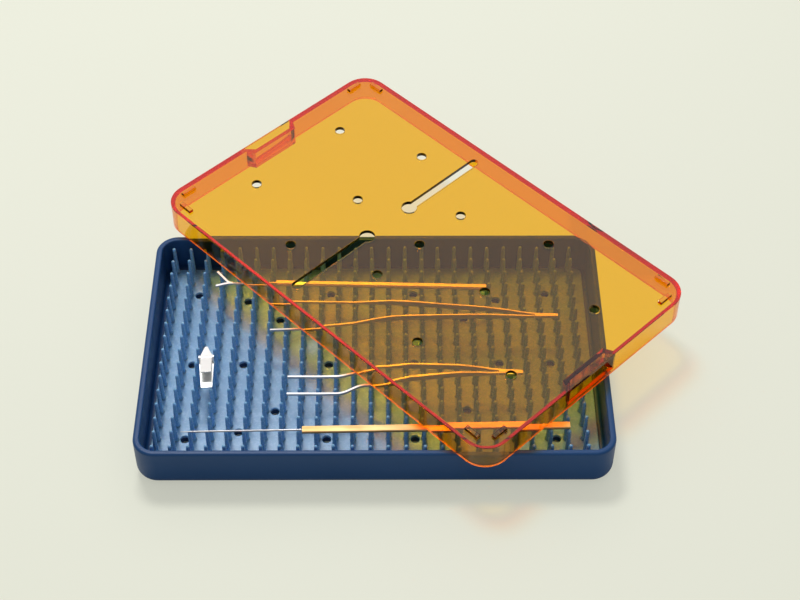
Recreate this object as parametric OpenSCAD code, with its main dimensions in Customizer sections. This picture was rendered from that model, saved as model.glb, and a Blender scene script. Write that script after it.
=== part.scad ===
// Sterilising cassette for small surgical and dental instruments: a moulded tray,
// a silicone mat of upright fingers and a clear amber lid set askew on the rim.
// Five fine instruments lie on the finger tips. The mat is one moulding, drawn row by
// row: each row of fingers stands on its own strip of the web.
// Millimetres, +Z up. The origin is the middle of the tray's underside, +X runs along
// the tray and +Y away from the side that faces the user.

/* [Tray] */
// Length of the tray over its end walls
base_l = 253; // [220:0.5:290]
// Width of the tray over its side walls
base_w = 158.8; // [140:0.2:190]
// Height of the rim above the table
base_h = 26.6; // [25.5:0.1:36]
// Thickness of the tray's walls
base_wall = 3.5; // [2.5:0.1:4.5]
// Thickness of the tray's floor
base_floor = 3; // [2:0.1:4]
// Plan radius of the tray's outer corners
base_corner_r = 12; // [10:0.5:16]
// Rounding of the outer edge under the walls
base_foot_r = 7; // [4:0.5:8]
// Rounding of the outer edge of the rim
base_rim_r = 1.4; // [0.6:0.1:1.6]

/* [Finger mat] */
// Widest distance from finger to finger, both ways; a narrow mat draws them together
finger_pitch = 9.525; // [9.4:0.025:11]
// Shift of the finger field along the tray
finger_shift = -2.3; // [-3:0.1:3]
// Thickness of the mat's web
mat_t = 2; // [1.5:0.1:3]
// Gap between the mat and the tray's walls
mat_gap = 2.8; // [1.5:0.1:2.8]
// Plan radius of the mat's corners
mat_corner_r = 4.5; // [4:0.5:8]
// Height of a finger above the web
finger_h = 19.4; // [14:0.2:20]
// Radius of a finger where it leaves the web
finger_foot_r = 1.5; // [1.2:0.05:1.6]
// Radius of a finger just below its tip
finger_tip_r = 1; // [0.8:0.05:1.1]
// Height of the bevel round the tip
finger_bevel = 0.5; // [0.3:0.1:0.8]
// Radius of the drain holes in the mat and the tray's floor
drain_r = 2.4; // [1.8:0.1:3]

/* [Lid] */
// Height of the lid from its skirt to its plate's top
lid_h = 16; // [13:0.2:22]
// Thickness of the lid's skirt
lid_wall = 2.4; // [1.8:0.1:3]
// Thickness of the lid's plate
lid_plate = 2.2; // [1.6:0.1:3]
// Play at each end when the lid laps over the tray
lid_end_gap = 1.3; // [0.6:0.1:2]
// Play at each side when the lid laps over the tray
lid_side_gap = 0.4; // [0.3:0.1:1.5]
// Rounding of the edge round the top of the lid
lid_edge_r = 2; // [1:0.1:2.4]
// Distance between two columns of vents
vent_pitch = 50.8; // [45:0.2:53]
// Radius of a vent
vent_r = 2.9; // [2:0.1:4]
// Radius of a keyhole slot's eye
eye_r = 4.5; // [3.5:0.1:6]
// Width of a keyhole slot
slot_w = 5; // [3:0.2:6]
// Distance of the slots' line from the middle of the lid
slot_offset = 25.4; // [18:0.2:32]
// Distance of an eye from the middle of the lid
slot_start = 16.8; // [10:0.2:20]
// Distance of a slot's far end from the middle of the lid
slot_end = 73.3; // [55:0.1:75]

/* [Lid ribs and grips] */
// Height of the stacking ribs
rib_h = 1.7; // [1:0.1:3]
// Thickness of a stacking rib
rib_t = 2.5; // [1.5:0.1:3.5]
// Length of a stacking rib
rib_l = 9; // [6:0.5:14]
// Distance of a rib's outer face from the lid's outer face
rib_inset = 5; // [4:0.1:7]
// Distance of a rib's near end from the lid's outer corner
rib_start = 11.5; // [10:0.5:16]
// Width of a finger grip where it opens in the end wall
grip_w = 36; // [26:0.5:44]
// Width of a finger grip at its back panel
grip_back_w = 27; // [20:0.5:34]
// Depth of a finger grip
grip_depth = 5; // [3:0.1:7]
// Height of the grip's ledge above the bottom of the skirt
grip_z = 3.4; // [3.2:0.1:5]
// Thickness of the grip's ledge
grip_ledge = 1.6; // [1.2:0.1:2]

/* [Lid as left on the tray] */
// Middle of the lid along the tray
lid_x = 24.9; // [15:0.1:35]
// Middle of the lid across the tray
lid_y = 57.1; // [50:0.1:65]
// Turn of the lid seen from above
lid_turn = -45.8; // [-50:0.1:-42]

/* [Instruments] */
// Gap between the finger tips and what lies on them
rest_gap = 0.1; // [0.05:0.05:0.2]
// Length of the forked instrument's handle
fork_handle_l = 119; // [100:1:125]
// Width of the forked instrument's handle
fork_handle_w = 3.7; // [3:0.1:4.5]
// Thickness of the forked instrument's handle
fork_handle_t = 2.4; // [2:0.1:2.6]
// Radius of the forked instrument's shank
fork_shank_r = 0.6; // [0.4:0.05:0.65]
// Free length of the forked instrument's shank
fork_shank_l = 25; // [15:1:28]
// Length of the forked instrument's prongs
fork_prong_l = 9; // [6:0.5:12]
// Distance of the far prong's end from the shank's axis
fork_far_spread = 8.5; // [4:0.5:10]
// Distance of the near prong's end from the shank's axis
fork_near_spread = 2.4; // [1.5:0.1:5]
// Length of the straight forceps
plain_l = 160; // [140:1:165]
// Length of the forceps with stepped tips
bayonet_l = 127; // [110:1:130]
// Distance of the straight forceps' far tip from their axis
plain_spread = 11; // [8:0.2:12]
// Distance of the stepped forceps' near leg from their axis before the step
bayonet_spread = 8.4; // [6:0.2:9]
// Sideways step of the stepped tips
bayonet_step = 5.4; // [3:0.1:6]
// Thickness of a forceps leg
leg_t = 1; // [0.8:0.05:1.2]
// Width of a forceps leg at its grip
leg_w = 3.6; // [2.6:0.1:4]
// Width of a forceps leg at its tip
leg_tip_w = 1.4; // [1:0.1:1.7]
// Length of the weld at the tail of a forceps
weld_l = 13; // [8:0.5:18]
// Width of the weld at the tail of a forceps
weld_w = 2; // [1.7:0.1:2.4]
// Play between the weld and the near leg, which flexes there
weld_gap = 0.15; // [0.1:0.05:0.3]
// Length of the probe's handle
probe_handle_l = 141; // [120:1:143]
// Width of the probe's handle
probe_handle_w = 4.4; // [3:0.1:5]
// Thickness of the probe's handle
probe_handle_t = 1.7; // [1.5:0.05:1.9]
// Radius of the probe's shaft
probe_shaft_r = 0.55; // [0.4:0.05:0.6]
// Free length of the probe's shaft
probe_shaft_l = 64; // [50:1:70]
// Length of the probe's point
probe_point = 9; // [5:0.5:12]

/* [Spring clip] */
// Width of the clip over its ears
clip_w = 8; // [7:0.1:9]
// Width of the clip's finger plates at their ends
clip_end_w = 6; // [4:0.1:6.4]
// Thickness of the clip's plates
clip_t = 0.8; // [0.6:0.05:0.9]
// Length of the jaws in front of the pin
clip_jaw_l = 9; // [6:0.5:11]
// Length of the lower finger plate behind the pin
clip_tail_l = 19; // [15:0.5:22]
// Length of the upper finger plate behind the pin
clip_lever_l = 13; // [9:0.5:14]
// Height of the pin above the finger tips
clip_pin_z = 2.6; // [2.4:0.1:3.2]
// Radius of the pin
clip_pin_r = 0.5; // [0.4:0.05:0.6]
// Rise of the upper finger plate behind the pin
clip_rise = 3.2; // [2.6:0.1:4]

/* [Hidden] */
finger_rows = 16;
$fn = 48;

// Tray and mat
well_l = base_l - 2 * base_wall;
well_w = base_w - 2 * base_wall;
well_corner_r = base_corner_r - base_wall;
well_foot_r = mat_gap - 0.8;
mat_l = well_l - 2 * mat_gap;
mat_w = well_w - 2 * mat_gap;
web_top = base_floor + mat_t;
tip_z = web_top + finger_h;
finger_edge = finger_foot_r + 0.1;
pitch = min(finger_pitch, (mat_w - 2 * finger_edge) / (finger_rows - 1));
finger_columns = floor((mat_l - 2 * abs(finger_shift) - 2 * finger_edge) / pitch) + 1;
// Drain holes in one quarter of the field, in pitches from its middle
drain_cells = [[2.5, 0], [2.5, 5.5], [5.5, 3.5], [7.5, 0], [7.5, 5], [10.5, 0], [10.5, 5.5]];
drains = [for (c = drain_cells, sx = [-1, 1], sy = c[1] == 0 ? [1] : [-1, 1])
    [sx * c[0] * pitch + finger_shift, sy * c[1] * pitch]];

// Lid
lid_l = base_l + 2 * (lid_end_gap + lid_wall);
lid_w = base_w + 2 * (lid_side_gap + lid_wall);
lid_corner_r = base_corner_r + lid_wall;
lid_roof = lid_h - lid_plate;
// Vents in one quarter of the plate, in column pitches and half pitches across it
vent_cells = [[0, 0], [0, 1.3125], [1, 0], [1, 2.0625], [2, 1.3125]];
vents = [for (c = vent_cells, sx = c[0] == 0 ? [1] : [-1, 1], sy = c[1] == 0 ? [1] : [-1, 1])
    [sx * c[0] * vent_pitch, sy * c[1] * vent_pitch / 2]];

// Instruments, each placed by one point, in shares of the mat, and its turn seen from above
function on_mat(x, y) = [x * mat_l, y * mat_w];
rest_z = tip_z + rest_gap;
weld_h = leg_tip_w + 0.5;
fork_at = on_mat(-0.2346, 0.2873);
fork_turn = -1.65;
fork_axis_z = rest_z + fork_handle_t / 2;
plain_at = on_mat(0.4226, 0.1167);
plain_turn = 0;
bayonet_at = on_mat(0.3319, -0.1642);
bayonet_turn = 0;
probe_at = on_mat(-0.1589, -0.424);
probe_turn = 1.1;
probe_axis_z = rest_z + probe_handle_t / 2;
clip_at = on_mat(-0.3819, -0.0958);
clip_turn = 4.2;
socket_l = 8;
ear_t = 0.7;
ear_r = 1.8;
ear_gap = 0.2;
jaw_gap = 0.15;
jaw_end_w = 1.5;
clip_arm_w = clip_w - 2 * ear_t - 2 * ear_gap;
barrel_r = clip_pin_r + 0.6;
leg_root = (weld_w - leg_t) / 2;
flex_x = -weld_l - weld_gap - leg_t / 2;
// Plan of the forceps legs as shares: of the length from the tail, and of the spread
plain_far = [[0.09, 0.11], [0.2, 0.33], [0.42, 0.65], [0.56, 0.84], [0.8, 0.95], [1, 1]];
plain_near = [[0.26, -0.09], [0.5, -0.15], [0.62, -0.27], [0.74, -0.55], [0.9, -0.78], [1, -0.85]];
bayonet_far = [[0.1, 0.18], [0.2, 0.35], [0.4, 0.48], [0.58, 0.52], [0.64, 0.41]];
bayonet_near = [[0.26, -0.19], [0.5, -0.6], [0.62, -0.88], [0.69, -1]];
// Where the legs are widest, as shares of the length from the tail: start, full, end of full, slim again
plain_grip = [0.1, 0.26, 0.58, 0.7];
bayonet_grip = [0.14, 0.27, 0.48, 0.57];

// Curve through the points of a plan line
function on_curve(p, i, u) =
    let (a = p[max(i - 1, 0)], b = p[i], c = p[i + 1], d = p[min(i + 2, len(p) - 1)])
    0.5 * (2 * b + (c - a) * u + (2 * a - 5 * b + 4 * c - d) * pow(u, 2)
        + (3 * b - a - 3 * c + d) * pow(u, 3));
function curve(p, steps = 4) =
    concat([for (i = [0:len(p) - 2], k = [0:steps - 1]) on_curve(p, i, k / steps)], [p[len(p) - 1]]);
function side_of(p, i) =
    let (d = p[min(i + 1, len(p) - 1)] - p[max(i - 1, 0)]) [-d[1], d[0]] / norm(d);

// Band of even thickness along a plan line
module band(p, t) {
    ends = len(p) - 1;
    polygon(concat([for (i = [0:ends]) p[i] + side_of(p, i) * t / 2],
        [for (i = [ends:-1:0]) p[i] - side_of(p, i) * t / 2]));
}

module round_rect(l, w, r) {
    square([l - 2 * r, w], center = true);
    square([l, w - 2 * r], center = true);
    for (x = [-1, 1], y = [-1, 1])
        translate([x * (l / 2 - r), y * (w / 2 - r)]) circle(r);
}

// Section of a block h high: corner radius low_r at the bottom and top_r at the top, 0 for a sharp one
module block_section(w, h, low_r, top_r) {
    translate([-w / 2, low_r]) square([w, h - low_r - top_r]);
    translate([low_r - w / 2, 0]) square([w - 2 * low_r, h]);
    translate([top_r - w / 2, low_r]) square([w - 2 * top_r, h - low_r]);
    for (x = [-1, 1]) {
        if (low_r > 0) translate([x * (w / 2 - low_r), low_r]) circle(low_r);
        if (top_r > 0) translate([x * (w / 2 - top_r), h - top_r]) circle(top_r);
    }
}

// Block with round plan corners and round edges above and below, standing on z = 0
module round_block(l, w, h, corner_r, low_r, top_r) {
    rotate([90, 0, 90]) translate([0, 0, corner_r - l / 2])
        linear_extrude(l - 2 * corner_r) block_section(w, h, low_r, top_r);
    rotate([90, 0, 0]) translate([0, 0, corner_r - w / 2])
        linear_extrude(w - 2 * corner_r) block_section(l, h, low_r, top_r);
    for (x = [-1, 1], y = [-1, 1])
        translate([x * (l / 2 - corner_r), y * (w / 2 - corner_r), 0])
            rotate_extrude() intersection() {
                block_section(2 * corner_r, h, low_r, top_r);
                square([corner_r, h]);
            }
}

module drill_drains(z, h) {
    for (p = drains) translate([p[0], p[1], z - 1]) cylinder(r = drain_r, h = h + 2);
}

// Moulded tray: soft outer bottom edge, straight walls, drained floor
module base_tray() {
    color([0.12, 0.27, 0.45]) difference() {
        round_block(base_l, base_w, base_h, base_corner_r, base_foot_r, base_rim_r);
        translate([0, 0, base_floor])
            round_block(well_l, well_w, base_h, well_corner_r, well_foot_r, 0);
        drill_drains(0, base_floor);
    }
}

// One finger: a slim cone with a bevelled tip, rooted in the web
module finger() {
    rotate_extrude()
        polygon([[0, -mat_t / 2], [finger_foot_r, -mat_t / 2], [finger_foot_r, 0],
            [finger_tip_r, finger_h - finger_bevel], [finger_tip_r / 2, finger_h], [0, finger_h]]);
}

function clear_of_drains(p) = min([for (d = drains) norm(d - p)]) > drain_r + finger_foot_r + 0.3;

// Strip of the web under one row: up to halfway to its neighbours, or to the mat's edge
module web_strip(row) {
    y = (row - finger_rows / 2) * pitch;
    low = row == 1 ? -mat_w : y - pitch;
    high = row == finger_rows ? mat_w : y;
    intersection() {
        linear_extrude(mat_t) round_rect(mat_l, mat_w, mat_corner_r);
        translate([-mat_l, low, -1]) cube([2 * mat_l, high - low, mat_t + 2]);
    }
}

// One row of the mat, counted from the side that faces the user
module mat_row(row) {
    y = (row - (finger_rows + 1) / 2) * pitch;
    color([0.42, 0.6, 0.76]) {
        translate([0, 0, base_floor]) difference() {
            web_strip(row);
            drill_drains(0, mat_t);
        }
        for (i = [0:finger_columns - 1]) {
            p = [(i - (finger_columns - 1) / 2) * pitch + finger_shift, y];
            if (clear_of_drains(p)) translate([p[0], p[1], web_top]) finger($fn = 24);
        }
    }
}

// Plan of a finger grip: narrows inwards from the end wall, grown by a wall, cut off past that wall
module grip_plan(grow, past) {
    flare = (grip_w - grip_back_w) / 2 / grip_depth;
    mouth = grip_w / 2 + grow + flare * past;
    back = grip_back_w / 2 + grow;
    back_x = lid_l / 2 - grip_depth - grow;
    polygon([[lid_l / 2 + past, mouth], [back_x, back], [back_x, -back], [lid_l / 2 + past, -mouth]]);
}

module keyhole() {
    translate([slot_start, 0]) circle(eye_r);
    translate([slot_start, -slot_w / 2]) square([slot_end - slot_w / 2 - slot_start, slot_w]);
    translate([slot_end - slot_w / 2, 0]) circle(slot_w / 2);
}

module stacking_rib() {
    translate([rib_start, rib_inset, lid_h - lid_plate / 2]) cube([rib_l, rib_t, rib_h + lid_plate / 2]);
}

// Four corners of the lid, each with a rib along both walls
module stacking_ribs() {
    for (x = [0, 1], y = [0, 1]) mirror([x, 0, 0]) mirror([0, y, 0])
        translate([-lid_l / 2, -lid_w / 2, 0]) {
            stacking_rib();
            mirror([1, -1, 0]) stacking_rib();
        }
}

// Lid in its own frame: middle of the plate on the axis, bottom of the skirt at z = 0
module lid_shape() {
    difference() {
        union() {
            difference() {
                round_block(lid_l, lid_w, lid_h, lid_corner_r, 0, lid_edge_r);
                translate([0, 0, -1]) linear_extrude(lid_roof + 1)
                    round_rect(lid_l - 2 * lid_wall, lid_w - 2 * lid_wall, lid_corner_r - lid_wall);
            }
            for (side = [0, 1]) mirror([side, 0, 0]) translate([0, 0, grip_z - grip_ledge])
                linear_extrude(lid_h - lid_plate / 2 - grip_z + grip_ledge) grip_plan(lid_wall, -lid_wall / 2);
        }
        for (side = [0, 1]) mirror([side, 0, 0]) translate([0, 0, grip_z])
            linear_extrude(lid_roof - grip_z) grip_plan(0, 1);
        translate([0, 0, lid_roof - 1]) linear_extrude(lid_plate + 2) {
            for (p = vents) translate(p) circle(vent_r);
            for (side = [-1, 1]) translate([-slot_offset, 0]) rotate(side * 90) keyhole();
        }
    }
    stacking_ribs();
}

module lid() {
    color([1, 0.68, 0.08, 0.55]) translate([lid_x, lid_y, base_h]) rotate(lid_turn) lid_shape();
}

// Handle bar with bevelled long edges, from x = 0
module handle_bar(l, w, t, bevel) {
    rotate([90, 0, 90]) linear_extrude(l)
        polygon([for (s = [[1, 1], [-1, 1], [-1, -1], [1, -1]], k = [0, 1])
            let (first = s[0] * s[1] > 0 ? k : 1 - k)
            [s[0] * (w / 2 - first * bevel), s[1] * (t / 2 - (1 - first) * bevel)]]);
}

module place(at, turn, z = 0) {
    translate([at[0], at[1], z]) rotate(turn) children();
}

module fork_handle() {
    color([0.72, 0.73, 0.75]) place(fork_at, fork_turn, fork_axis_z) difference() {
        handle_bar(fork_handle_l, fork_handle_w, fork_handle_t, fork_handle_t / 3);
        translate([-1, 0, 0]) rotate([0, 90, 0]) cylinder(r = fork_shank_r, h = socket_l + 1);
    }
}

// Prong in plan: leaves the end of the shank and swings out to its own spread
function prong(spread) = [[fork_shank_r, 0], [-0.22 * fork_prong_l, 0.06 * spread],
    [-0.56 * fork_prong_l, 0.45 * spread], [-fork_prong_l, spread]];

// Shank seated in the handle, with two spread prongs at its end
module fork_tip() {
    color([0.78, 0.79, 0.8]) place(fork_at, fork_turn, fork_axis_z) {
        translate([-fork_shank_l, 0, 0]) rotate([0, 90, 0])
            cylinder(r = fork_shank_r, h = fork_shank_l + socket_l);
        for (spread = [fork_far_spread, -fork_near_spread])
            translate([-fork_shank_l, 0, -fork_shank_r]) linear_extrude(2 * fork_shank_r)
                band(curve(prong(spread)), 2 * fork_shank_r);
    }
}

// Forceps leg along -X: even band in plan, its width swelling at the grip
module leg(line, l, grip) {
    slim = rest_z + leg_tip_w;
    intersection() {
        translate([0, 0, rest_z]) linear_extrude(leg_w) band(curve(line), leg_t);
        rotate([90, 0, 0]) linear_extrude(l, center = true)
            polygon([[leg_t, rest_z - 1], [leg_t, rest_z + weld_h], [-grip[0] * l, rest_z + weld_h],
                [-grip[1] * l, rest_z + leg_w], [-grip[2] * l, rest_z + leg_w],
                [-grip[3] * l, slim + 0.2], [-1.1 * l, slim], [-1.1 * l, rest_z - 1]]);
    }
}

function plan_line(shares, l, spread) = [for (s = shares) [-s[0] * l, s[1] * spread]];
function far_line(line) = concat([[0, leg_root]], line);
function near_line(line) = concat([[flex_x, -leg_root]], line);
// Stepped tips: the leg is set over by the step and runs straight to its end
function stepped(line, l) = let (y = line[len(line) - 1][1])
    concat(line, [[-0.76 * l, y - 0.85 * bayonet_step], [-0.82 * l, y - bayonet_step], [-l, y - bayonet_step]]);

module weld() {
    translate([-weld_l, -weld_w / 2, rest_z]) cube([weld_l, weld_w, weld_h]);
}

// Round root of the near leg, where it flexes
module flex_root() {
    translate([flex_x, -leg_root, rest_z]) cylinder(d = leg_t, h = weld_h);
}

module plain_far_leg() {
    color([0.74, 0.75, 0.76]) place(plain_at, plain_turn) {
        leg(far_line(plan_line(plain_far, plain_l, plain_spread)), plain_l, plain_grip);
        weld();
    }
}

module plain_near_leg() {
    color([0.74, 0.75, 0.76]) place(plain_at, plain_turn) {
        leg(near_line(plan_line(plain_near, plain_l, plain_spread)), plain_l, plain_grip);
        flex_root();
    }
}

module bayonet_far_leg() {
    line = plan_line(bayonet_far, bayonet_l, bayonet_spread);
    color([0.74, 0.75, 0.76]) place(bayonet_at, bayonet_turn) {
        leg(far_line(stepped(line, bayonet_l)), bayonet_l, bayonet_grip);
        weld();
    }
}

module bayonet_near_leg() {
    line = plan_line(bayonet_near, bayonet_l, bayonet_spread);
    color([0.74, 0.75, 0.76]) place(bayonet_at, bayonet_turn) {
        leg(near_line(stepped(line, bayonet_l)), bayonet_l, bayonet_grip);
        flex_root();
    }
}

module probe_handle() {
    color([0.8, 0.66, 0.42]) place(probe_at, probe_turn, probe_axis_z) difference() {
        handle_bar(probe_handle_l, probe_handle_w, probe_handle_t, probe_handle_t / 4);
        translate([-1, 0, 0]) rotate([0, 90, 0]) cylinder(r = probe_shaft_r, h = socket_l + 1);
    }
}

module probe_shaft() {
    color([0.74, 0.75, 0.76]) place(probe_at, probe_turn, probe_axis_z) rotate([0, -90, 0]) {
        translate([0, 0, -socket_l]) cylinder(r = probe_shaft_r, h = socket_l + probe_shaft_l - probe_point);
        translate([0, 0, probe_shaft_l - probe_point])
            cylinder(r1 = probe_shaft_r, r2 = 0.12, h = probe_point);
    }
}

module place_clip() {
    place(clip_at, clip_turn, rest_z) children();
}

// Tapered plan of a clip arm: jaw to +Y, finger plate to -Y
module clip_plan(w, end_w, jaw_l, tail_l) {
    polygon([[jaw_end_w / 2, jaw_l], [w / 2, ear_r], [w / 2, -ear_r], [end_w / 2, -tail_l],
        [-end_w / 2, -tail_l], [-w / 2, -ear_r], [-w / 2, ear_r], [-jaw_end_w / 2, jaw_l]]);
}

module clip_lower_arm() {
    color([0.86, 0.86, 0.84]) place_clip() difference() {
        union() {
            linear_extrude(clip_t) clip_plan(clip_w, clip_end_w, clip_jaw_l, clip_tail_l);
            for (side = [-1, 1]) translate([side * (clip_w - ear_t) / 2, 0, 0]) {
                translate([-ear_t / 2, -ear_r, 0]) cube([ear_t, 2 * ear_r, clip_pin_z]);
                translate([0, 0, clip_pin_z]) rotate([0, 90, 0])
                    cylinder(r = ear_r, h = ear_t, center = true);
            }
        }
        translate([0, 0, clip_pin_z]) rotate([0, 90, 0])
            cylinder(r = clip_pin_r, h = clip_w + 2, center = true);
    }
}

// Upper arm: closed jaw in front, barrel on the pin, finger plate rising behind
module clip_upper_arm() {
    jaw_z = clip_t + jaw_gap;
    color([0.9, 0.9, 0.88]) place_clip() difference() {
        union() {
            intersection() {
                linear_extrude(clip_pin_z + clip_rise + 2)
                    clip_plan(clip_arm_w, clip_end_w, clip_jaw_l, clip_lever_l);
                rotate([90, 0, 90]) linear_extrude(clip_arm_w + 2, center = true)
                    polygon([[clip_jaw_l, jaw_z], [clip_jaw_l, jaw_z + clip_t], [0.5, clip_pin_z + clip_t],
                        [-clip_lever_l, clip_pin_z + clip_rise + clip_t], [-clip_lever_l, clip_pin_z + clip_rise],
                        [-0.5, clip_pin_z]]);
            }
            translate([0, 0, clip_pin_z]) rotate([0, 90, 0])
                cylinder(r = barrel_r, h = clip_arm_w, center = true);
        }
        translate([0, 0, clip_pin_z]) rotate([0, 90, 0])
            cylinder(r = clip_pin_r + 0.05, h = clip_w, center = true);
    }
}

module clip_pin() {
    color([0.6, 0.61, 0.63]) place_clip() translate([0, 0, clip_pin_z]) rotate([0, 90, 0])
        cylinder(r = clip_pin_r, h = clip_w + 0.4, center = true);
}

base_tray();
lid();
for (row = [1:finger_rows]) mat_row(row);
fork_handle();
fork_tip();
plain_far_leg();
plain_near_leg();
bayonet_far_leg();
bayonet_near_leg();
probe_handle();
probe_shaft();
clip_lower_arm();
clip_upper_arm();
clip_pin();
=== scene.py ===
# Sterilising cassette: deep-blue tray, silicone finger mat, clear amber lid and fine instruments
import math

import bmesh
import bpy
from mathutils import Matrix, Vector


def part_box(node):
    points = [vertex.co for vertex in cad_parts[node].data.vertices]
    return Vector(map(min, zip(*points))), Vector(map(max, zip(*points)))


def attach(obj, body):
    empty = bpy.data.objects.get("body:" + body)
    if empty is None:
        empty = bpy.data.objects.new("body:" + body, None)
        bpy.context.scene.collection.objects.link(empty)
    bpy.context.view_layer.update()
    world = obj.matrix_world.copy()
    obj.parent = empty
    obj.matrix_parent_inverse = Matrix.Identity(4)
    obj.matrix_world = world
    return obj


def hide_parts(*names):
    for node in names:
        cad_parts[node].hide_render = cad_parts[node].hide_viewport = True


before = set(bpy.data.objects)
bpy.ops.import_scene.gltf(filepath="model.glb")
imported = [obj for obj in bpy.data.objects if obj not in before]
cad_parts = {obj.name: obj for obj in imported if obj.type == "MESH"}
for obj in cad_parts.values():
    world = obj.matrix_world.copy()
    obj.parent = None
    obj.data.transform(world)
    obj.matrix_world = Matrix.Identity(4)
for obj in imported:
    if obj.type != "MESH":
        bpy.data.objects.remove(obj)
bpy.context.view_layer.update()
mm = 0.001
print("frame loaded:", len(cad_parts), "nodes")

# Camera, fitted to the photograph by the rows of fingers
cameraSetup = {
    "lens": 74.99,
    "sensorWidth": 36,
    "nearest": 0.01,
    "farthest": 20,
    "place": (7.98 * mm, -600.93 * mm, 717.86 * mm),
    "turnDegrees": (42.341, -0.201, -0.2995),
}


def makeCamera(setup):
    data = bpy.data.cameras.new("camera")
    data.lens = setup["lens"]
    data.sensor_width = setup["sensorWidth"]
    data.clip_start, data.clip_end = setup["nearest"], setup["farthest"]
    camera = bpy.data.objects.new("camera", data)
    bpy.context.scene.collection.objects.link(camera)
    camera.location = setup["place"]
    camera.rotation_euler = [math.radians(angle) for angle in setup["turnDegrees"]]
    bpy.context.scene.camera = camera


makeCamera(cameraSetup)


# Materials: small helpers first
def startMaterial(name):
    material = bpy.data.materials.new(name)
    material.use_nodes = True
    tree = material.node_tree
    return material, tree, tree.nodes["Principled BSDF"]


def addNode(tree, kind, inputs=None, **settings):
    node = tree.nodes.new(kind)
    for key, value in settings.items():
        setattr(node, key, value)
    for key, value in (inputs or {}).items():
        if isinstance(value, bpy.types.NodeSocket):
            tree.links.new(value, node.inputs[key])
        else:
            node.inputs[key].default_value = value
    return node


def grainOn(tree, scale, stretch=(1, 1, 1), detail=4, turn=0):
    coords = addNode(tree, "ShaderNodeTexCoord")
    mapped = addNode(tree, "ShaderNodeMapping", {
        "Vector": coords.outputs["Object"],
        "Rotation": (0, 0, turn),
        "Scale": stretch,
    })
    noise = addNode(tree, "ShaderNodeTexNoise", {
        "Vector": mapped.outputs["Vector"],
        "Scale": scale,
        "Detail": detail,
    })
    return noise.outputs["Fac"]


noiseReach = (0.3, 0.7)  # where nearly all of a noise's values lie


def spread(tree, value, low, high):
    return addNode(tree, "ShaderNodeMapRange", {
        "Value": value,
        "From Min": noiseReach[0],
        "From Max": noiseReach[1],
        "To Min": low,
        "To Max": high,
    }).outputs["Result"]


def blendColours(tree, share, first, second):
    mix = addNode(tree, "ShaderNodeMix", data_type="RGBA")
    tree.links.new(share, mix.inputs[0])
    mix.inputs[6].default_value = (*first, 1)
    mix.inputs[7].default_value = (*second, 1)
    return mix.outputs[2]


def roughen(tree, shader, height, bumps):
    strength, depth = bumps
    bump = addNode(tree, "ShaderNodeBump", {
        "Height": height,
        "Strength": strength,
        "Distance": depth,
    })
    tree.links.new(bump.outputs["Normal"], shader.inputs["Normal"])


def cloudedColour(tree, cloud, finish):
    return blendColours(tree, spread(tree, cloud, 0, 1), finish["colour"], finish["paler"])


# The shader where the share is 0, the other one where it is 1
def showEither(tree, share, shader, other):
    mix = addNode(tree, "ShaderNodeMixShader", {"Fac": share})
    tree.links.new(shader.outputs["BSDF"], mix.inputs[1])
    tree.links.new(other.outputs[0], mix.inputs[2])
    tree.links.new(mix.outputs["Shader"], tree.nodes["Material Output"].inputs["Surface"])


def mathNode(tree, operation, *values):
    return addNode(tree, "ShaderNodeMath", dict(enumerate(values)), operation=operation).outputs[0]


trayFinish = {
    "colour": (0.010, 0.054, 0.165),
    "paler": (0.014, 0.064, 0.19),
    "roughness": (0.34, 0.46),
    "shine": 0.22,
    "cloud": 14,
    "grain": 1400,
    "bumps": (0.12, 0.1 * mm),
}


def makeTrayPlastic(finish):
    material, tree, shader = startMaterial("trayPlastic")
    cloud = grainOn(tree, finish["cloud"], detail=3)
    grain = grainOn(tree, finish["grain"], detail=2)
    tree.links.new(cloudedColour(tree, cloud, finish), shader.inputs["Base Color"])
    tree.links.new(spread(tree, cloud, *finish["roughness"]), shader.inputs["Roughness"])
    shader.inputs["Specular IOR Level"].default_value = finish["shine"]
    roughen(tree, shader, grain, finish["bumps"])
    return material


siliconeFinish = {
    "colour": (0.19, 0.38, 0.6),
    "paler": (0.23, 0.44, 0.68),
    "roughness": (0.2, 0.32),
    "cloud": 22,
    "grain": 700,
    "bumps": (0.1, 0.15 * mm),
    "glow": 0.8,
    "glowTint": (0.6, 0.8, 1),
    "glowRadius": 3 * mm,
}


def makeSilicone(finish):
    material, tree, shader = startMaterial("silicone")
    cloud = grainOn(tree, finish["cloud"], detail=3)
    grain = grainOn(tree, finish["grain"], detail=3)
    tree.links.new(cloudedColour(tree, cloud, finish), shader.inputs["Base Color"])
    tree.links.new(spread(tree, grain, *finish["roughness"]), shader.inputs["Roughness"])
    shader.inputs["Subsurface Weight"].default_value = finish["glow"]
    shader.inputs["Subsurface Radius"].default_value = finish["glowTint"]
    shader.inputs["Subsurface Scale"].default_value = finish["glowRadius"]
    roughen(tree, shader, grain, finish["bumps"])
    return material


amberFinish = {
    "surface": (1, 0.77, 0.06),
    "shadowTint": (1, 0.93, 0.62),
    "roughness": 0.02,
    "bend": 1.49,
    "depth": (0.985, 0.8, 0.0),
    "perMetre": 760,
    "flow": 9,
    "bumps": (0.05, 0.6 * mm),
}


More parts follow.
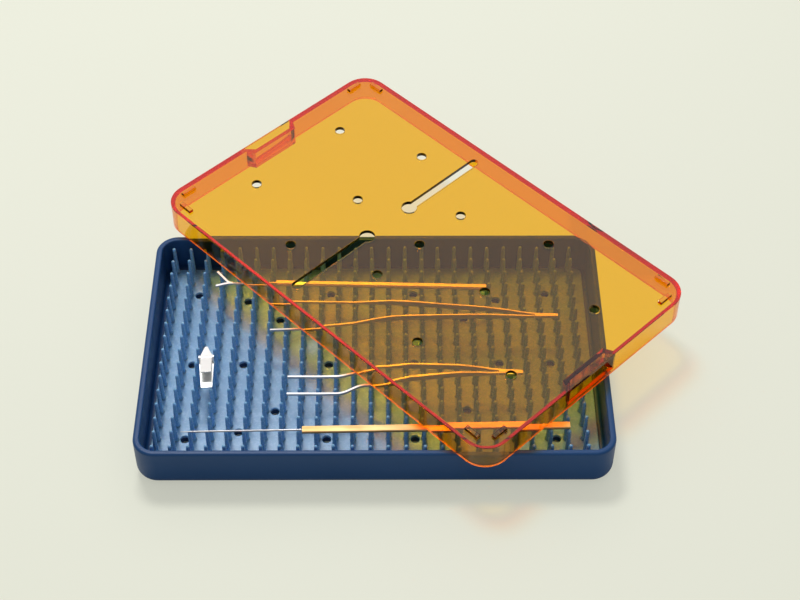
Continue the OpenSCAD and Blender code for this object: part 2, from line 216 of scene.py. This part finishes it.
# Clear amber plastic: the colour deepens with the length that light travels inside.
# Lamps and light from pale surfaces pass straight through, so its shadow is pale amber
def makeAmber(finish):
    material, tree, shader = startMaterial("amberPlastic")
    shader.inputs["Base Color"].default_value = (*finish["surface"], 1)
    shader.inputs["Roughness"].default_value = finish["roughness"]
    shader.inputs["IOR"].default_value = finish["bend"]
    shader.inputs["Transmission Weight"].default_value = 1
    roughen(tree, shader, grainOn(tree, finish["flow"], detail=2), finish["bumps"])
    path = addNode(tree, "ShaderNodeLightPath").outputs
    passing = addNode(tree, "ShaderNodeBsdfTransparent", {"Color": (*finish["shadowTint"], 1)})
    softLight = mathNode(tree, "MAXIMUM", path["Is Shadow Ray"], path["Is Diffuse Ray"])
    showEither(tree, softLight, shader, passing)
    depth = addNode(tree, "ShaderNodeVolumeAbsorption", {
        "Color": (*finish["depth"], 1),
        "Density": finish["perMetre"],
    })
    tree.links.new(depth.outputs["Volume"], tree.nodes["Material Output"].inputs["Volume"])
    return material


steelFinish = {
    "colour": (0.5, 0.5, 0.51),
    "paler": (0.64, 0.64, 0.65),
    "roughness": (0.42, 0.58),
    "brush": 900,
}
giltFinish = {
    "colour": (0.5, 0.31, 0.13),
    "paler": (0.66, 0.45, 0.22),
    "roughness": (0.44, 0.6),
    "brush": 700,
}
nickelFinish = {
    "colour": (0.86, 0.86, 0.83),
    "paler": (0.95, 0.95, 0.93),
    "roughness": (0.34, 0.46),
    "brush": 1100,
}


brushing = {
    "stretch": (0.06, 1, 1),
    "cloud": 60,
    "bumps": (0.15, 0.04 * mm),
}


# Metal brushed along the instrument's length
def makeBrushedMetal(name, finish, turn=0):
    material, tree, shader = startMaterial(name)
    brush = grainOn(tree, finish["brush"], stretch=brushing["stretch"], detail=3, turn=turn)
    cloud = grainOn(tree, brushing["cloud"], detail=3)
    tree.links.new(cloudedColour(tree, cloud, finish), shader.inputs["Base Color"])
    tree.links.new(spread(tree, brush, *finish["roughness"]), shader.inputs["Roughness"])
    shader.inputs["Metallic"].default_value = 1
    roughen(tree, shader, brush, brushing["bumps"])
    return material


# The camera sees part of the paper's colour unlit, so the object's shadow on it stays faint.
# Through the clear lid it shows its plain colour, but not where it lies under the tray
floorFinish = {
    "colour": (0.8, 0.815, 0.7),
    "paler": (0.815, 0.83, 0.715),
    "roughness": 0.7,
    "shine": 0.2,
    "cloud": 1.5,
    "glow": 0.55,
    "underTray": (0.12, 0.073, 1),
}


def makeFloorPaper(finish):
    material, tree, shader = startMaterial("floorPaper")
    colour = cloudedColour(tree, grainOn(tree, finish["cloud"], detail=2), finish)
    tree.links.new(colour, shader.inputs["Base Color"])
    shader.inputs["Roughness"].default_value = finish["roughness"]
    shader.inputs["Specular IOR Level"].default_value = finish["shine"]
    inTray = addNode(tree, "ShaderNodeVectorMath", {
        0: addNode(tree, "ShaderNodeTexCoord").outputs["Object"],
        1: finish["underTray"],
    }, operation="DIVIDE")
    reach = addNode(tree, "ShaderNodeVectorMath", {0: inTray.outputs[0]}, operation="ABSOLUTE")
    sides = addNode(tree, "ShaderNodeSeparateXYZ", {0: reach.outputs[0]}).outputs
    beside = mathNode(tree, "GREATER_THAN", mathNode(tree, "MAXIMUM", sides["X"], sides["Y"]), 1)
    path = addNode(tree, "ShaderNodeLightPath").outputs
    seen = mathNode(tree, "MULTIPLY_ADD", path["Is Camera Ray"], finish["glow"],
                    path["Is Transmission Ray"])
    plain = addNode(tree, "ShaderNodeEmission", {"Color": colour})
    showEither(tree, mathNode(tree, "MULTIPLY", seen, beside), shader, plain)
    return material


trayPlastic = makeTrayPlastic(trayFinish)
silicone = makeSilicone(siliconeFinish)
amberPlastic = makeAmber(amberFinish)
satinSteel = makeBrushedMetal("satinSteel", steelFinish)
giltMetal = makeBrushedMetal("giltMetal", giltFinish)
paleNickel = makeBrushedMetal("paleNickel", nickelFinish, turn=math.pi / 2)
print("materials made")


# Shape helpers: contours are closed plan outlines, grown outwards or inwards by an inset
def arcPoints(centre, radius, start, end, steps):
    return [(centre[0] + radius * math.cos(start + (end - start) * i / steps),
             centre[1] + radius * math.sin(start + (end - start) * i / steps))
            for i in range(steps + 1)]


def roundedContour(length, width, corner, steps=12):
    def outline(inset):
        radius = corner - inset
        points = []
        for quarter, (sx, sy) in enumerate(((1, 1), (-1, 1), (-1, -1), (1, -1))):
            centre = (sx * (length / 2 - corner), sy * (width / 2 - corner))
            start = quarter * math.pi / 2
            points += arcPoints(centre, radius, start, start + math.pi / 2, steps)
        return points
    return outline


def holeContour(centre, radius, steps=28):
    def outline(inset):
        return arcPoints(centre, radius + inset, 0, math.tau * (steps - 1) / steps, steps - 1)
    return outline


def filletSection(centre, radius, start, end, steps):
    return arcPoints(centre, radius, math.radians(start), math.radians(end), steps)


# Solid between two flat caps: every contour is carried along its own section of (inset, height)
def contourSolid(contours):
    bm = bmesh.new()
    lowEdges, highEdges = [], []
    for outline, section in contours:
        rings = []
        for inset, height in section:
            rings.append([bm.verts.new((x, y, height)) for x, y in outline(inset)])
        for low, high in zip(rings, rings[1:]):
            for i in range(len(low)):
                j = (i + 1) % len(low)
                bm.faces.new((low[i], low[j], high[j], high[i]))
        for ring, edges in ((rings[0], lowEdges), (rings[-1], highEdges)):
            edges += [bm.edges.get((ring[i], ring[(i + 1) % len(ring)])) for i in range(len(ring))]
    for edges in (lowEdges, highEdges):
        bmesh.ops.triangle_fill(bm, use_beauty=True, edges=edges)
    bmesh.ops.recalc_face_normals(bm, faces=bm.faces)
    return bm


# Section of a plate's outline or of a hole through it, rounded at both faces
def drilledSection(low, high, edge):
    middle = 0.3 * edge  # where a round edge crosses its diagonal
    return [(edge, low), (middle, low + middle), (0, low + edge),
            (0, high - edge), (middle, high - middle), (edge, high)]


def makePiece(name, bm, material, smoothAngle=40):
    mesh = bpy.data.meshes.new(name)
    bm.to_mesh(mesh)
    bm.free()
    mesh.shade_smooth()
    mesh.set_sharp_from_angle(angle=math.radians(smoothAngle))
    mesh.materials.append(material)
    piece = bpy.data.objects.new(name, mesh)
    bpy.context.scene.collection.objects.link(piece)
    return piece


def evenNormals(piece):
    weighted = piece.modifiers.new("even normals", "WEIGHTED_NORMAL")
    weighted.keep_sharp = True
    weighted.weight = 100  # the largest faces decide


def settle(piece, body, slot, *nodes):
    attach(piece, body)
    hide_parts(*nodes)


# Tray
trayLow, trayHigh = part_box("base_tray")
tray = {
    "length": trayHigh.x - trayLow.x,
    "width": trayHigh.y - trayLow.y,
    "height": trayHigh.z,
    "wall": 3.5 * mm,
    "floor": 3 * mm,
    "corner": 12 * mm,
    "footRadius": 7 * mm,
    "rimOuter": 1.4 * mm,
    "rimInner": 0.9 * mm,
    "wellFoot": 2 * mm,
    "drainRadius": 2.4 * mm,
    "drainEdge": 0.3 * mm,
}
fingers = {
    "pitch": 9.525 * mm,
    "columns": 25,
    "rows": 16,
    "shift": -2.3 * mm,
    "height": 19.4 * mm,
    "rootRadius": 1.9 * mm,
    "leanDegrees": 0.9,
    "seed": 7,
    "points": 8,
    "sides": 10,
    # Share of the height that each point of the line rises to
    "rise": [(0, 0), (0.143, 0.012), (0.286, 0.05), (0.43, 0.3),
             (0.57, 0.93), (0.714, 0.967), (0.857, 0.99), (1, 1)],
    # Share of the root's radius by share of the height: foot flare, taper, rounded tip
    "flare": [(0, 1), (0.012, 0.86), (0.05, 0.77), (0.3, 0.69),
              (0.93, 0.54), (0.967, 0.49), (0.99, 0.34), (1, 0.06)],
}

# Drains of the right back quarter, in pitches from the middle; the others mirror them
drainCells = [(2.5, 0), (2.5, 5.5), (5.5, 3.5), (7.5, 0), (7.5, 5), (10.5, 0), (10.5, 5.5)]


def drainPlaces():
    pitch = fingers["pitch"]
    places = []
    for column, row in drainCells:
        for sx in (-1, 1):
            for sy in ((1,) if row == 0 else (-1, 1)):
                places.append((sx * column * pitch + fingers["shift"], sy * row * pitch))
    return places


# From the underside up the outer wall, over the rim and down to the well's floor
def traySection(t):
    foot, rimOuter, rimInner = t["footRadius"], t["rimOuter"], t["rimInner"]
    wellFoot = t["wellFoot"]
    return (filletSection((foot, foot), foot, 270, 180, 10)
            + filletSection((rimOuter, t["height"] - rimOuter), rimOuter, 180, 90, 6)
            + filletSection((t["wall"] - rimInner, t["height"] - rimInner), rimInner, 90, 0, 5)
            + filletSection((t["wall"] + wellFoot, t["floor"] + wellFoot), wellFoot, 180, 270, 5))


def makeTray(t):
    drain = drilledSection(0, t["floor"], t["drainEdge"])
    contours = [(roundedContour(t["length"], t["width"], t["corner"]), traySection(t))]
    contours += [(holeContour(place, t["drainRadius"]), drain) for place in drainPlaces()]
    piece = makePiece("trayShell", contourSolid(contours), trayPlastic)
    evenNormals(piece)
    settle(piece, "tray", "tray", "base_tray")


makeTray(tray)
print("tray made")


# Finger mat: a drilled web, and fingers set out by Geometry Nodes
matNodes = [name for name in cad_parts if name.startswith("mat_row_")]
matBoxes = [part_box(name) for name in matNodes]
matLow = [min(low[axis] for low, high in matBoxes) for axis in range(3)]
matHigh = [max(high[axis] for low, high in matBoxes) for axis in range(3)]
web = {
    "length": matHigh[0] - matLow[0],
    "width": matHigh[1] - matLow[1],
    "low": matLow[2],
    "thickness": 2 * mm,
    "corner": 4.5 * mm,
    "edge": 0.5 * mm,
    "smoothAngle": 50,
}


# Straight runs between the points
def floatCurve(tree, factor, points):
    node = addNode(tree, "ShaderNodeFloatCurve", {"Value": factor})
    curve = node.mapping.curves[0]
    curve.points[0].location = points[0]
    curve.points[-1].location = points[-1]
    for place in points[1:-1]:
        curve.points.new(*place)
    for point in curve.points:
        point.handle_type = "VECTOR"
    node.mapping.update()
    return node.outputs["Value"]


def fingerTree(riseCurve, flareCurve):
    tree = bpy.data.node_groups.new("finger field", "GeometryNodeTree")
    face = tree.interface
    face.new_socket("Geometry", in_out="OUTPUT", socket_type="NodeSocketGeometry")
    for name, kind in (("Pitch", "Float"), ("Columns", "Int"), ("Rows", "Int"),
                       ("Shift", "Float"), ("Base height", "Float"), ("Height", "Float"),
                       ("Root radius", "Float"), ("Lean", "Float"), ("Seed", "Int"),
                       ("Points", "Int"), ("Sides", "Int"), ("Material", "Material")):
        face.new_socket(name, in_out="INPUT", socket_type="NodeSocket" + kind)
    given = addNode(tree, "NodeGroupInput").outputs

    def span(count):
        return mathNode(tree, "MULTIPLY", mathNode(tree, "SUBTRACT", count, 1), given["Pitch"])

    # One finger: a line whose points gather at the root and the tip, and its radius along it.
    # The line's factor is read again once its points have moved, so there it follows the height
    line = addNode(tree, "GeometryNodeCurvePrimitiveLine", {"End": (0, 0, 1)})
    steps = addNode(tree, "GeometryNodeResampleCurve", {
        "Curve": line.outputs["Curve"],
        "Count": given["Points"],
    })
    share = addNode(tree, "GeometryNodeSplineParameter").outputs["Factor"]
    rise = floatCurve(tree, share, riseCurve)
    place = addNode(tree, "ShaderNodeCombineXYZ", {
        "Z": mathNode(tree, "MULTIPLY", rise, given["Height"]),
    })
    stem = addNode(tree, "GeometryNodeSetPosition", {
        "Geometry": steps.outputs["Curve"],
        "Position": place.outputs["Vector"],
    })
    radius = mathNode(tree, "MULTIPLY", floatCurve(tree, share, flareCurve), given["Root radius"])
    ring = addNode(tree, "GeometryNodeCurvePrimitiveCircle", {
        "Resolution": given["Sides"],
        "Radius": 1,
    })
    finger = addNode(tree, "GeometryNodeCurveToMesh", {
        "Curve": stem.outputs["Geometry"],
        "Profile Curve": ring.outputs["Curve"],
        "Scale": radius,
        "Fill Caps": True,
    })
    # The field, each finger leaning a little its own way
    grid = addNode(tree, "GeometryNodeMeshGrid", {
        "Size X": span(given["Columns"]),
        "Size Y": span(given["Rows"]),
        "Vertices X": given["Columns"],
        "Vertices Y": given["Rows"],
    })
    offset = addNode(tree, "ShaderNodeCombineXYZ", {
        "X": given["Shift"],
        "Z": given["Base height"],
    })
    field = addNode(tree, "GeometryNodeSetPosition", {
        "Geometry": grid.outputs["Mesh"],
        "Offset": offset.outputs["Vector"],
    })
    leanBack = mathNode(tree, "MULTIPLY", given["Lean"], -1)
    leanLow = addNode(tree, "ShaderNodeCombineXYZ", {"X": leanBack, "Y": leanBack})
    leanHigh = addNode(tree, "ShaderNodeCombineXYZ", {"X": given["Lean"], "Y": given["Lean"]})
    lean = addNode(tree, "FunctionNodeRandomValue", {
        0: leanLow.outputs["Vector"],
        1: leanHigh.outputs["Vector"],
        "Seed": given["Seed"],
    }, data_type="FLOAT_VECTOR")
    stood = addNode(tree, "GeometryNodeInstanceOnPoints", {
        "Points": field.outputs["Geometry"],
        "Instance": finger.outputs["Mesh"],
        "Rotation": lean.outputs[0],
    })
    real = addNode(tree, "GeometryNodeRealizeInstances", {"Geometry": stood.outputs["Instances"]})
    painted = addNode(tree, "GeometryNodeSetMaterial", {
        "Geometry": real.outputs["Geometry"],
        "Material": given["Material"],
    })
    addNode(tree, "NodeGroupOutput", {"Geometry": painted.outputs["Geometry"]})
    return tree


def runTree(tree, values):
    carrier = bpy.data.objects.new("carrier", bpy.data.meshes.new("carrier"))
    bpy.context.scene.collection.objects.link(carrier)
    modifier = carrier.modifiers.new("field", "NODES")
    modifier.node_group = tree
    for item in tree.interface.items_tree:
        if item.in_out == "INPUT":
            modifier[item.identifier] = values[item.name]
    depsgraph = bpy.context.evaluated_depsgraph_get()
    mesh = bpy.data.meshes.new_from_object(carrier.evaluated_get(depsgraph))
    bpy.data.objects.remove(carrier)
    return mesh


def makeFingerMesh(f, baseHeight):
    return runTree(fingerTree(f["rise"], f["flare"]), {
        "Pitch": f["pitch"],
        "Columns": f["columns"],
        "Rows": f["rows"],
        "Shift": f["shift"],
        "Base height": baseHeight,
        "Height": f["height"],
        "Root radius": f["rootRadius"],
        "Lean": math.radians(f["leanDegrees"]),
        "Seed": f["seed"],
        "Points": f["points"],
        "Sides": f["sides"],
        "Material": silicone,
    })


def makeMat(w):
    high = w["low"] + w["thickness"]
    edge = drilledSection(w["low"], high, w["edge"])
    contours = [(roundedContour(w["length"], w["width"], w["corner"]), edge)]
    contours += [(holeContour(place, tray["drainRadius"]), edge) for place in drainPlaces()]
    bm = contourSolid(contours)
    bm.from_mesh(makeFingerMesh(fingers, high))
    piece = makePiece("matSilicone", bm, silicone, w["smoothAngle"])
    evenNormals(piece)
    settle(piece, "mat", "mat", *matNodes)


makeMat(web)
print("mat made")


dressing = {
    "mergeWithin": 0.001 * mm,
    "flatDegrees": 0.5,
    "edgeSegments": 2,
    "edgeDegrees": 50,
}


# Pieces that keep the solid's own shape get merged faces, softened edges and even shading
def dressNode(name, node, material, body, slot, edge):
    bm = bmesh.new()
    bm.from_mesh(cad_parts[node].data)
    bmesh.ops.remove_doubles(bm, verts=bm.verts, dist=dressing["mergeWithin"])
    flat = math.radians(dressing["flatDegrees"])
    bmesh.ops.dissolve_limit(bm, angle_limit=flat, verts=bm.verts, edges=bm.edges)
    piece = makePiece(name, bm, material)
    bevel = piece.modifiers.new("soft edges", "BEVEL")
    bevel.width = edge
    bevel.segments = dressing["edgeSegments"]
    bevel.limit_method = "ANGLE"
    bevel.angle_limit = math.radians(dressing["edgeDegrees"])
    bevel.use_clamp_overlap = True
    evenNormals(piece)
    settle(piece, body, slot, node)
    return piece


# Lid: light gathers in its long edges, so the plate's rounded rim and the skirt's foot
# have their own materials, coloured deep red and orange as a painted glow of that light
lidLow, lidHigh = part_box("lid")
lidEdges = {
    "ribRise": 1.7 * mm,  # of the corner ribs over the plate
    "rimDepth": 2.6 * mm,
    "rimTilt": (0.12, 0.97),  # upward share of a rim face's normal
    "footDepth": 0.1 * mm,
    "edge": 0.35 * mm,
}
# Painted glow: the rim faces get a deep red colour that stands for light carried along the plate's
# edge
rimPaintedGlow = {
    "colour": (0.6, 0.12, 0.01),
    "darker": 0.8,
    "roughness": 0.3,
    "shine": 0.2,
    "through": 0.5,
    "cloud": 40,
}
# Painted highlight: the skirt's foot faces get an orange colour that stands for a bright line of
# light at its edge
footPaintedGlow = {
    "colour": (0.95, 0.4, 0.05),
    "darker": 0.8,
    "roughness": 0.2,
    "shine": 0.2,
    "through": 0.3,
    "cloud": 40,
}


# Partly clear amber whose red or orange colour is a painted glow of light in the lid's edges
def makeEdgeGlow(name, finish):
    material, tree, shader = startMaterial(name)
    cloud = grainOn(tree, finish["cloud"], detail=2)
    darker = [finish["darker"] * part for part in finish["colour"]]
    colour = blendColours(tree, spread(tree, cloud, 0, 1), darker, finish["colour"])
    tree.links.new(colour, shader.inputs["Base Color"])
    shader.inputs["Roughness"].default_value = finish["roughness"]
    shader.inputs["IOR"].default_value = amberFinish["bend"]
    shader.inputs["Specular IOR Level"].default_value = finish["shine"]
    shader.inputs["Transmission Weight"].default_value = finish["through"]
    return material


def paintLidEdgeGlow(piece, edges):
    piece.data.materials.append(makeEdgeGlow("amberRimPaintedGlow", rimPaintedGlow))
    piece.data.materials.append(makeEdgeGlow("amberFootPaintedGlow", footPaintedGlow))
    plateTop = lidHigh.z - edges["ribRise"]
    low, high = edges["rimTilt"]
    # The rounded rim's faces and the skirt's downward foot faces take the painted glow materials
    for face in piece.data.polygons:
        rise = face.center.z
        if plateTop - edges["rimDepth"] < rise < plateTop and low < face.normal.z < high:
            face.material_index = 1
        elif rise < lidLow.z + edges["footDepth"] and face.normal.z < -high:
            face.material_index = 2


amberLid = dressNode("amberLid", "lid", amberPlastic, "lid", "lid", lidEdges["edge"])
paintLidEdgeGlow(amberLid, lidEdges)
print("lid made")

# Instruments: piece, CAD node, metal, body, slot and width of its softened edges
instruments = [
    ("forkHandle", "fork_handle", satinSteel, "fork", "steel", 0.2 * mm),
    ("forkTip", "fork_tip", satinSteel, "fork", "steel", 0.1 * mm),
    ("plainFarLeg", "plain_far_leg", satinSteel, "plain_forceps", "steel", 0.15 * mm),
    ("plainNearLeg", "plain_near_leg", satinSteel, "plain_leg", "steel", 0.15 * mm),
    ("steppedFarLeg", "bayonet_far_leg", satinSteel, "bayonet_forceps", "steel", 0.15 * mm),
    ("steppedNearLeg", "bayonet_near_leg", satinSteel, "bayonet_leg", "steel", 0.15 * mm),
    ("probeHandle", "probe_handle", giltMetal, "probe", "gilt", 0.15 * mm),
    ("probeShaft", "probe_shaft", satinSteel, "probe", "steel", 0.05 * mm),
    ("clipLowerArm", "clip_lower_arm", paleNickel, "clip", "nickel", 0.15 * mm),
    ("clipUpperArm", "clip_upper_arm", paleNickel, "clip_arm", "nickel", 0.15 * mm),
    ("clipPin", "clip_pin", satinSteel, "clip", "steel", 0.08 * mm),
]
for instrument in instruments:
    dressNode(*instrument)
print("instruments made")


# Floor and light
studio = {
    "floorSize": 3.2,
    "worldColour": (1, 1, 1),
    "worldStrength": 0.4,
    "key": {
        "place": (-0.22, 0.6, 1.35),
        "size": (0.4, 0.3),
        "power": 12,
        "colour": (1, 0.985, 0.955),
    },
    "backPanel": {
        "place": (0, 1.5, 1.5),
        "size": (2.6, 1.6),
        "power": 9,
        "colour": (1, 0.97, 1),
    },
}


def makeFloor(setup):
    half = setup["floorSize"] / 2
    corners = [(-half, -half, 0), (half, -half, 0), (half, half, 0), (-half, half, 0)]
    mesh = bpy.data.meshes.new("floor")
    mesh.from_pydata(corners, [], [(0, 1, 2, 3)])
    mesh.materials.append(makeFloorPaper(floorFinish))
    floor = bpy.data.objects.new("floor", mesh)
    bpy.context.scene.collection.objects.link(floor)


def makeWorld(setup):
    world = bpy.data.worlds.new("studio")
    world.use_nodes = True
    background = world.node_tree.nodes["Background"]
    background.inputs["Color"].default_value = (*setup["worldColour"], 1)
    background.inputs["Strength"].default_value = setup["worldStrength"]
    bpy.context.scene.world = world


def makePanelLight(name, panel):
    data = bpy.data.lights.new(name, "AREA")
    data.shape = "RECTANGLE"
    data.size, data.size_y = panel["size"]
    data.energy = panel["power"]
    data.color = panel["colour"]
    light = bpy.data.objects.new(name, data)
    light.location = panel["place"]
    light.rotation_mode = "QUATERNION"
    light.rotation_quaternion = light.location.to_track_quat("Z", "Y")
    bpy.context.scene.collection.objects.link(light)


makeFloor(studio)
makeWorld(studio)
makePanelLight("key", studio["key"])
makePanelLight("backPanel", studio["backPanel"])
bpy.context.scene.view_settings.view_transform = "Standard"
